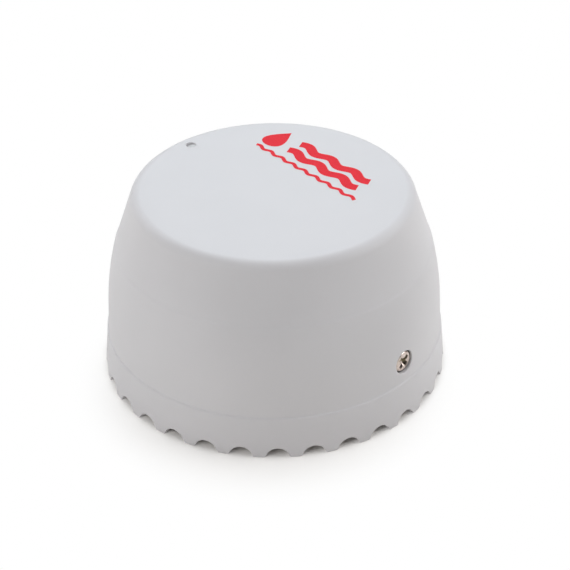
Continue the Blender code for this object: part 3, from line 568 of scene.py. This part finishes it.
def cutHoles(piece):
    reach = fitting["toolOver"]
    over, above = fitting["lipOver"]
    rings = [alongX(fitting["shankHole"], bossFace - reach), alongX(fitting["shankHole"], sealFloor)]
    rings.append(alongX(fitting["headHole"], sealFloor))
    for out, depth in lipSteps(fitting["holeLip"]):
        rings.append(onWall(fitting["headHole"] + out, depth))
    lastOut = fitting["headHole"] + over * fitting["holeLip"]
    rings.append(onWall(lastOut, -above * fitting["holeLip"]))
    rings.append(alongX(lastOut, bandRadius(fitting["screwZ"]) + reach))
    sideTool = loft("sideHole", rings)
    shoulder = cap["height"] - fitting["guideShoulder"]
    rings = [aboutLamp(fitting["guideHole"], ceilingZ - fitting["guideBossLength"] - reach)]
    rings.append(aboutLamp(fitting["guideHole"], shoulder))
    rings.append(aboutLamp(fitting["lampHole"], shoulder))
    for out, depth in lipSteps(fitting["lampLip"]):
        rings.append(aboutLamp(fitting["lampHole"] + out, cap["height"] - depth))
    lastOut = fitting["lampHole"] + over * fitting["lampLip"]
    rings.append(aboutLamp(lastOut, cap["height"] + above * fitting["lampLip"]))
    rings.append(aboutLamp(lastOut, cap["height"] + reach))
    combine(piece, joinPieces([sideTool, loft("lampHole", rings)]), "DIFFERENCE")


addBosses(shell)
cutHoles(shell)
plasticGrey = mouldedPlastic("mouldedGrey", (0.725, 0.715, 0.737))
smoothShade(shell)
applyModifier(shell, "WEIGHTED_NORMAL", {"keep_sharp": True})
finishPiece(shell, plasticGrey, "housing_plastic", "housing_shell")


# Side screw: a low pan head with a cross recess, and a threaded shank

screw = {
    "headRadius": 2.0 * mm,
    "headHeight": 1.0 * mm,
    "crown": 0.12 * mm,          # how far the domed face stands up
    "flat": 1.5 * mm,            # radius of the face inside its rounded edge
    "flatDrop": 0.02 * mm,       # how far the face falls to there
    "edgeDrop": 0.34 * mm,       # how far the rounded edge falls
    "backEdge": 0.08 * mm,       # slope on the head's back edge
    "edgeBevel": 0.03 * mm,
    "crestRadius": 1.0 * mm,
    "rootRadius": 0.76 * mm,
    "pitch": 0.4 * mm,
    "crestSlope": 2.6,
    "runOut": (1.2, 1.6),        # of the thread under the head and at the tip, in pitches
    "neck": 0.05 * mm,
    "length": 7.0 * mm,
    "pointLength": 0.5 * mm,
    "pointSlope": 0.5,
    "pointEnd": 0.7,             # the tip's radius as a share of the root's
    "recessReach": 1.42 * mm,
    "recessHalf": 0.42 * mm,     # half of an arm's width
    "recessCorner": 0.50 * mm,   # rounding between the arms
    "recessDepth": 0.75 * mm,
    "recessTurn": 45.0,          # degrees
    "recessRings": (-0.5, 0.0, 0.3, 0.65, 1.0),  # shares of its depth, the first above the face
    "footReach": 0.45 * mm,      # the recess at its bottom
    "footHalf": 0.12 * mm,
    "footCorner": 0.10 * mm,
    "footTaper": 1.3,
    "sealRadius": 2.19 * mm,
    "sealThick": 0.5 * mm,
    "sealGap": 0.15 * mm,        # behind it
    "sealEdge": 0.05 * mm,
    "darkRingThick": 0.15 * mm,       # the dark ring that stands up round the head
    "darkRingDepth": 0.14 * mm,       # its edge below the head's face
    "darkRingEdge": 0.03 * mm,
    "darkRingFoot": 0.04 * mm,
}


def standOnWall(piece):
    # From its modelling place, with the face at z = 0, to the side screw's
    outwards = Matrix(((0, 0, 1, 0), (1, 0, 0, 0), (0, 1, 0, 0), (0, 0, 0, 1)))
    piece.matrix_world = Matrix.Translation((screwFace, 0, fitting["screwZ"])) @ outwards
    applyPlace(piece)


def threadRing(z, count):
    # The crest climbs one pitch in a turn and runs out under the head and at the tip
    ring = []
    high = screw["crestRadius"] - screw["rootRadius"]
    below = -screw["headHeight"] - z
    tip = z + screw["length"]
    start, end = screw["runOut"]
    fade = min(1.0, below / (start * screw["pitch"]), tip / (end * screw["pitch"]))
    for index in range(count):
        turn = index / count
        phase = (z / screw["pitch"] - turn) % 1.0
        crest = max(0.0, 1.0 - abs(phase - 0.5) * screw["crestSlope"])
        radius = screw["rootRadius"] + high * crest * max(0.0, fade)
        if tip < screw["pointLength"]:
            radius -= screw["pointSlope"] * (screw["pointLength"] - tip)
        angle = 2 * math.pi * turn
        ring.append((radius * math.cos(angle), radius * math.sin(angle), z))
    return ring


def makeScrew():
    count = 64
    steps = 8
    flatZ = screw["crown"] - screw["flatDrop"]
    back = -screw["headHeight"]
    edge = screw["backEdge"]
    profile = [(screw["flat"] * 0.5, screw["crown"]), (screw["flat"], flatZ)]
    for step in range(1, steps + 1):
        turn = math.pi / 2 * step / steps
        radius = mix(screw["flat"], screw["headRadius"], math.sin(turn))
        profile.append((radius, flatZ - screw["edgeDrop"] * (1 - math.cos(turn))))
    profile += [(screw["headRadius"], back + edge), (screw["headRadius"] - edge, back)]
    profile.append((screw["rootRadius"], back))
    rings = [circleRing(radius, z, count) for radius, z in profile]
    z = back - screw["neck"]
    while z > -screw["length"]:
        rings.append(threadRing(z, count))
        z -= screw["pitch"] / 8
    rings.append(circleRing(screw["rootRadius"] * screw["pointEnd"], -screw["length"], count))
    piece = loft("side_pan_screw", rings)
    combine(piece, makeRecess(), "DIFFERENCE")
    bevel = {"width": screw["edgeBevel"], "segments": 2, "angle_limit": math.radians(50)}
    applyModifier(piece, "BEVEL", bevel)
    standOnWall(piece)
    return piece


def makeRecess():
    # Four arms with rounded corners between them, narrower on the way down
    rings = []
    depth = screw["recessDepth"]
    for share in screw["recessRings"]:
        down = max(0.0, share)
        reach = mix(screw["recessReach"], screw["footReach"], down ** screw["footTaper"])
        half = mix(screw["recessHalf"], screw["footHalf"], down)
        corner = mix(screw["recessCorner"], screw["footCorner"], down)
        rings.append(recessRing(reach, half, corner, screw["crown"] - depth * share))
    piece = loft("crossTool", rings)
    piece.rotation_euler = (0.0, 0.0, math.radians(screw["recessTurn"]))
    applyPlace(piece)
    return piece


def recessRing(reach, half, corner, z):
    ring = []
    middle = half + corner
    arm = arcPoints((middle, -middle), corner, 180.0, 90.0, 4) + [(reach, -half), (reach, half)]
    for quarter in range(4):
        turn = Matrix.Rotation(math.pi / 2 * quarter, 2)
        for point in arm:
            ring.append((*(turn @ Vector(point)), z))
    return ring


def makeScrewSeal():
    # A rubber washer under the head, and a thin dark ring that stands up from it round the head and makes the
    # gap round the head black
    back = sealFloor + screw["sealGap"]
    front = back + screw["sealThick"]
    lip = screwFace - screw["darkRingDepth"]
    outer = screw["sealRadius"]
    inner = outer - screw["darkRingThick"]
    edge = screw["sealEdge"]
    thin = screw["darkRingEdge"]
    foot = screw["darkRingFoot"]
    shank = fitting["shankHole"]
    outside = [(outer - edge, back), (outer, back + edge), (outer, lip - thin), (outer - thin, lip)]
    inside = [(shank, back - mm), (shank, front), (inner - foot, front)]
    inside += [(inner, front + foot), (inner, lip + mm)]
    piece = loft("screw_seal_dark_ring", [alongX(radius, x) for radius, x in outside])
    hole = loft("sealHole", [alongX(radius, x) for radius, x in inside])
    combine(piece, hole, "DIFFERENCE")
    return piece


plate = {
    "tones": ((0.62, 0.52, 0.47), (0.78, 0.69, 0.64)),
    # The recess's painted shade: near black low down, olive higher up
    "recessShadeTones": ((0.06, 0.045, 0.03), (0.27, 0.225, 0.125)),
    "shadeRise": (-0.75 * mm, -0.35 * mm),        # where the painted shade turns from near black to olive, from the screw's axis
    "recessFrom": (-0.12 * mm, 0.06 * mm),       # from the screw's face
    "recessReach": (1.46 * mm, 1.54 * mm),
    "clearFlankAt": (0.0, 0.05 * mm, -0.58 * mm),      # the flank left out of the painted shade, where the recess mirrors a lamp, from the screw's axis
    "clearFlankReach": (0.28 * mm, 0.42 * mm),
    # How much less metallic the recess is where its shade is painted
    "recessDull": 0.75,
}


def warmNickel(name):
    # Warm plate. Inside the recess the colour is painted shade, olive high up and near black low down, and
    # less metallic there, but for one flank left out, where the recess mirrors a lamp
    material, place, inputs = startMaterial(name, 0.3, 1.0)
    flat = {0: place, 1: (0.0, 1.0, 1.0), 2: (0.0, 0.0, -fitting["screwZ"])}
    across = place.add("ShaderNodeVectorMath", {"operation": "MULTIPLY_ADD"}, flat)
    deep = 1 - place.axis(0).span(*[screwFace + depth for depth in plate["recessFrom"]])
    inside = 1 - across.distance().span(*plate["recessReach"])
    # Painted shade: the recess below the face is darkened, all but round the flank that mirrors a lamp
    paintedShade = deep * inside * across.distance(plate["clearFlankAt"]).span(*plate["clearFlankReach"])
    scuff = place.noise(0.5 * mm, 4.0)
    bright = scuff.span(0.35, 0.7).tint(*plate["tones"])
    shadeTone = across.axis(2).span(*plate["shadeRise"]).tint(*plate["recessShadeTones"])
    place.feed(inputs["Base Color"], paintedShade.tint(bright, shadeTone))
    place.feed(inputs["Metallic"], 1 - paintedShade * plate["recessDull"])
    place.feed(inputs["Roughness"], 0.22 + scuff * 0.16)
    place.feed(inputs["Normal"], place.noise(0.06 * mm).bump(0.002 * mm))
    return material


def softRubber(name):
    material, place, inputs = startMaterial(name, 0.75)
    bloom = place.noise(1.2 * mm, 4.0)
    place.feed(inputs["Base Color"], bloom.span(0.35, 0.7).tint((0.022, 0.022, 0.022), (0.045, 0.045, 0.044)))
    place.feed(inputs["Roughness"], 0.62 + bloom * 0.2)
    place.feed(inputs["Normal"], place.noise(0.1 * mm).bump(0.006 * mm))
    return material


sideScrew = makeScrew()
smoothShade(sideScrew)
finishPiece(sideScrew, warmNickel("warmNickel"), "nickel_steel", "side_screw")
sealRubber = softRubber("sealRubber")
screwSeal = makeScrewSeal()
smoothShade(screwSeal)
finishPiece(screwSeal, sealRubber, "seal_rubber", "side_screw_seal")


# Indicator window: the frosted end of the light guide, just below the top face

window = {
    "guideRadius": 1.5 * mm,
    "tipRadius": 0.93 * mm,
    "sink": 0.23 * mm,
    "slant": 0.24,               # how steeply its face falls
    "slantTurn": 8.0,            # degrees, the way it falls, from -X
    "slantFrom": 0.5 * mm,       # above the shoulder
    "tipLength": 2.2 * mm,
    "endZ": 15.3 * mm,
    "dome": 0.10 * mm,
    "domeRings": ((0.3, 0.0), (0.6, 0.3), (0.88, 0.75), (1.0, 1.4)),  # shares of tipRadius and dome
    "edge": 0.1 * mm,
    "shoulderEdge": 0.15 * mm,
}


def makeWindow():
    top = cap["height"] - window["sink"]
    shoulder = top - window["tipLength"]
    tip = window["tipRadius"]
    guide = window["guideRadius"]
    edge = window["edge"]
    broad = window["shoulderEdge"]
    profile = [(tip * out, top - window["dome"] * fall) for out, fall in window["domeRings"]]
    profile += [(tip, shoulder + edge), (tip + edge, shoulder)]
    profile += [(guide - broad, shoulder), (guide, shoulder - broad)]
    profile += [(guide, window["endZ"] + edge), (guide - edge, window["endZ"])]
    turn = math.radians(window["slantTurn"])
    rings = []
    for radius, z in profile:
        slant = window["slant"] if z > shoulder + window["slantFrom"] else 0.0
        ring = []
        for x, y, level in aboutLamp(radius, z):
            fall = (x - lampX) * math.cos(turn) + (y - fitting["lampAside"]) * math.sin(turn)
            ring.append((x, y, z + slant * fall))
        rings.append(ring)
    return loft("indicator_window", rings)


def frostedAcrylic(name):
    material, place, inputs = startMaterial(name, 0.35, IOR=1.49)
    cloud = place.noise(0.35 * mm, 3.0)
    place.feed(inputs["Base Color"], cloud.span().tint((0.54, 0.54, 0.55), (0.68, 0.68, 0.69)))
    place.feed(inputs["Roughness"], 0.25 + cloud * 0.2)
    place.feed(inputs["Normal"], place.noise(0.05 * mm).bump(0.003 * mm))
    return material


lampWindow = makeWindow()
smoothShade(lampWindow)
finishPiece(lampWindow, frostedAcrylic("frostedAcrylic"), "pipe_acrylic", "light_pipe")


# Printed mark on the top: a drop beside two broad waves and over a fine one, along the print's line

mark = {
    "turn": -7.4,                # degrees from +X
    "place": (-1.5 * mm, 13.6 * mm),
    "thick": 0.018 * mm,
    "lift": 0.002 * mm,
    "waveFrom": -5.4 * mm,
    "waveTo": 13.5 * mm,
    "waveLength": 6.3 * mm,
    "waveRise": 0.55 * mm,
    "waveWidth": 1.95 * mm,
    "wavesAt": (1.0 * mm, -2.1 * mm),
    "dropAt": (-9.9 * mm, -0.6 * mm),
    "dropWidth": 5.6 * mm,
    "dropHeight": 6.6 * mm,
    "dropPoint": 1.4,            # more makes the point longer
    "dropFill": 1.16,            # brings its broadest part back to dropWidth
    "lineFrom": -11.0 * mm,      # the small line below
    "lineTo": 16.3 * mm,
    "lineAt": -5.2 * mm,
    "lineWidth": 0.75 * mm,
}


def waveOutline(start, end, length, rise, width, middle, steps=64):
    # A band that keeps its width along the wave
    upper = []
    lower = []
    for step in range(steps + 1):
        u = mix(start, end, step / steps)
        angle = 2 * math.pi * (u - start) / length
        slope = rise * 2 * math.pi / length * math.cos(angle)
        size = math.sqrt(1 + slope * slope)
        v = middle + rise * math.sin(angle)
        upper.append((u - slope / size * width / 2, v + width / 2 / size))
        lower.append((u + slope / size * width / 2, v - width / 2 / size))
    return upper + lower[::-1]


def dropOutline(steps=48):
    # A round drop that runs up to a point
    points = []
    for step in range(steps):
        turn = 2 * math.pi * step / steps
        taper = math.sin(turn / 2) ** mark["dropPoint"] * mark["dropFill"]
        x = mark["dropWidth"] / 2 * math.sin(turn) * taper
        y = mark["dropHeight"] / 2 * math.cos(turn)
        points.append((mark["dropAt"][0] + x, mark["dropAt"][1] + y))
    return points


def printed(name, outline):
    bottom = cap["height"] + mark["lift"]
    levels = (bottom, bottom + mark["thick"])
    piece = loft(name, [[(x, y, z) for x, y in outline] for z in levels])
    turn = Matrix.Rotation(math.radians(mark["turn"]), 4, "Z")
    piece.matrix_world = Matrix.Translation((*mark["place"], 0)) @ turn
    applyPlace(piece)
    return piece


def makeMark():
    pieces = [printed("top_mark", dropOutline())]
    for middle in mark["wavesAt"]:
        outline = waveOutline(mark["waveFrom"], mark["waveTo"], mark["waveLength"], mark["waveRise"],
                              mark["waveWidth"], middle)
        pieces.append(printed("wave", outline))
    small = waveOutline(mark["lineFrom"], mark["lineTo"], mark["waveLength"] / 2, mark["waveRise"] / 2,
                        mark["lineWidth"], mark["lineAt"], 128)
    pieces.append(printed("smallWave", small))
    return joinPieces(pieces)


def printInk(name):
    # Pad-printed ink: even, with a little mottling and hardly any shine
    material, place, inputs = startMaterial(name, 0.42, Specular_IOR_Level=0.06)
    mottle = place.noise(0.3 * mm, 3.0)
    place.feed(inputs["Base Color"], mottle.span().tint((0.78, 0.020, 0.034), (0.86, 0.026, 0.042)))
    place.feed(inputs["Roughness"], 0.36 + mottle * 0.12)
    place.feed(inputs["Normal"], place.noise(0.15 * mm).bump(0.004 * mm))
    return material


topMark = makeMark()
finishPiece(topMark, printInk("printInk"), "print_ink")


# Finishes for the pieces that stay as the frame has them

def solderMask(name, cloth=0.45 * mm):
    # Green mask over a faint weave of glass cloth
    material, place, inputs = startMaterial(name, 0.4, IOR=1.55)
    thread = 2 * math.pi / cloth
    weave = (place.axis(0) * thread).sine() * (place.axis(1) * thread).sine()
    tone = place.noise(2.5 * mm, 3.0) * 0.8 + weave * 0.12
    place.feed(inputs["Base Color"], tone.span(0.2, 0.6).tint((0.010, 0.115, 0.048), (0.022, 0.185, 0.078)))
    place.feed(inputs["Roughness"], 0.34 + tone * 0.14)
    place.feed(inputs["Normal"], weave.bump(0.003 * mm))
    return material


def shrinkSleeve(name, colour, brighter):
    material, place, inputs = startMaterial(name, 0.3, IOR=1.5)
    cloud = place.noise(4.0 * mm, 3.0)
    place.feed(inputs["Base Color"], cloud.span().tint(colour, brighter))
    place.feed(inputs["Roughness"], 0.24 + cloud * 0.16)
    place.feed(inputs["Normal"], place.noise(1.6 * mm).bump(0.02 * mm))
    return material


def tintedLens(name):
    material, place, inputs = startMaterial(name, 0.15, IOR=1.53)
    cloud = place.noise(0.8 * mm, 2.0)
    place.feed(inputs["Base Color"], cloud.span().tint((0.62, 0.07, 0.06), (0.80, 0.14, 0.11)))
    place.feed(inputs["Roughness"], 0.1 + cloud * 0.1)
    return material


def enamelledWire(name):
    material, place, inputs = startMaterial(name, 0.3, 1.0)
    lay = place.noise(0.6 * mm, 3.0)
    place.feed(inputs["Base Color"], lay.span().tint((0.66, 0.27, 0.12), (0.86, 0.44, 0.24)))
    place.feed(inputs["Roughness"], 0.22 + lay * 0.16)
    place.feed(inputs["Normal"], place.noise(0.12 * mm).bump(0.002 * mm))
    return material


finishes = {
    "housing_plastic": plasticGrey,
    "base_plastic": mouldedPlastic("baseGrey", (0.68, 0.68, 0.69), 0.3 * mm, 0.014 * mm, 0.58),
    "seal_rubber": sealRubber,
    "nickel_steel": turnedMetal("nickelSteel", (0.74, 0.68, 0.62), 0.25),
    "tinned_steel": turnedMetal("tinnedSteel", (0.76, 0.76, 0.75), 0.32),
    "brass": turnedMetal("turnedBrass", (0.80, 0.58, 0.26), 0.3),
    "board": solderMask("boardMask"),
    "black_plastic": mouldedPlastic("blackPlastic", (0.022, 0.022, 0.023), 0.18 * mm, 0.008 * mm, 0.45),
    "cell_wrap": shrinkSleeve("cellSleeve", (0.075, 0.13, 0.26), (0.11, 0.18, 0.34)),
    "led_lens": tintedLens("lampLens"),
    "pipe_acrylic": lampWindow.data.materials[0],
    "copper_wire": enamelledWire("enamelledWire"),
    "capacitor_sleeve": shrinkSleeve("capacitorSleeve", (0.035, 0.042, 0.065), (0.06, 0.07, 0.10)),
}
for part in frame["record"]["subparts"]:
    node = frame["nodes"][part["node"]]
    for place in node.material_slots:
        place.material = finishes[part["material_slot"]]
print("finished", len(frame["nodes"]), "nodes of the frame")


# Floor, world and lamps

stageLight = {
    "floorSize": 6.0,
    "floorDrop": 0.02 * mm,      # below the teeth
    "floorColour": (0.97, 0.94, 0.90),
    "shadeAt": (4.2 * mm, -7.1 * mm, 0.0),
    "shadeReach": 18.2 * mm,     # from there, where the painted white glow begins to lift the shade
    "whiteReach": 36.9 * mm,     # and where the floor is pure white
    "nearWhite": 0.24,           # share of painted white glow in the deepest shade
    "underReach": 30.6 * mm,     # from the origin, where the painted glow begins to lift the shade inside the notches
    "edgeReach": 33.7 * mm,      # and where it ends, just past the teeth
    "underWhite": 0.02,
    "lampAway": 0.8,
    "white": (1.0, 1.0, 1.0),
    "cool": (0.80, 0.93, 1.0),
    "lamps": (                   # name, power, bearing and height in degrees, size and colour
        ("topLamp", 1.18, 0, 90, 0.6, "white"),
        ("highBackLamp", 0.46, 90, 65, 0.5, "white"),
        ("backLamp", 1.78, 90, 40, 0.5, "cool"),
        ("rightLamp", 2.74, 0, 30, 0.5, "white"),
        ("backRightLamp", 1.10, 45, 30, 0.5, "white"),
        ("leftLamp", 0.36, 180, 30, 0.5, "white"),
        ("backLeftLamp", 1.50, 135, 30, 0.5, "white"),
        ("frontLeftLamp", 2.25, -135, 30, 0.5, "white"),
    ),
}


def whiteRays(wire):
    # 1 for rays from the camera, for mirror-sharp ones and for those that pass through a piece
    seen = wire.add("ShaderNodeLightPath", None, None, 0)
    for output in (4, 6):
        other = wire.add("ShaderNodeLightPath", None, None, output)
        seen = wire.math("MAXIMUM", seen, other)
    return seen


def makeFloor():
    bpy.ops.object.select_all(action="DESELECT")
    below = (0, 0, -stageLight["floorDrop"])
    bpy.ops.mesh.primitive_plane_add(size=stageLight["floorSize"], location=below)
    floor = bpy.context.active_object
    floor.name = "paleFloor"
    applyPlace(floor)
    material = bpy.data.materials.new("paleFloor")
    material.use_nodes = True
    tree = material.node_tree
    tree.nodes.remove(tree.nodes["Principled BSDF"])
    start = Wire(tree)
    place = start.add("ShaderNodeTexCoord", None, None, 3)
    # Painted light: camera rays see a white glow laid over the floor's real shading, which lifts its shade.
    # The glow is weakest near shadeAt, off the middle, and almost gone inside the notches
    near = stageLight["nearWhite"]
    reach = place.distance(stageLight["shadeAt"])
    fade = reach.span(stageLight["shadeReach"], stageLight["whiteReach"]) * (1 - near) + near
    under = stageLight["underWhite"]
    middle = place.distance()
    skirt = middle.span(stageLight["underReach"], stageLight["edgeReach"]) * (1 - under) + under
    white = fade * skirt * whiteRays(start)
    matte = start.add("ShaderNodeBsdfDiffuse", None, {"Color": (*stageLight["floorColour"], 1.0)})
    glow = start.add("ShaderNodeEmission", None, {"Strength": 1.0})
    shown = start.add("ShaderNodeMixShader", None, {0: white, 1: matte, 2: glow})
    tree.links.new(shown.socket, tree.nodes["Material Output"].inputs["Surface"])
    floor.data.materials.append(material)


def makeWorld():
    world = bpy.data.worlds.new("softWorld")
    bpy.context.scene.world = world
    world.use_nodes = True
    inputs = world.node_tree.nodes["Background"].inputs
    start = Wire(world.node_tree)
    start.feed(inputs["Color"], (1.0, 1.0, 1.0, 1.0))
    start.feed(inputs["Strength"], whiteRays(start))


def addLamp(name, power, bearing, height, size, colour):
    # The bearing is in degrees round the object as the camera sees it: 0 on the right, -90 in front
    data = bpy.data.lights.new(name, "AREA")
    data.shape = "DISK"
    data.energy = power
    data.size = size
    data.color = stageLight[colour]
    lamp = bpy.data.objects.new(name, data)
    bpy.context.scene.collection.objects.link(lamp)
    turn = math.radians(view["turn"] + bearing)
    rise = math.radians(height)
    towards = Vector((math.cos(turn) * math.cos(rise), math.sin(turn) * math.cos(rise), math.sin(rise)))
    place = towards * stageLight["lampAway"]
    lamp.location = place
    lamp.rotation_euler = (-place).to_track_quat("-Z", "Y").to_euler()


makeFloor()
makeWorld()
for settings in stageLight["lamps"]:
    addLamp(*settings)
bpy.context.scene.view_settings.view_transform = "Standard"
print("stage and lamps ready")
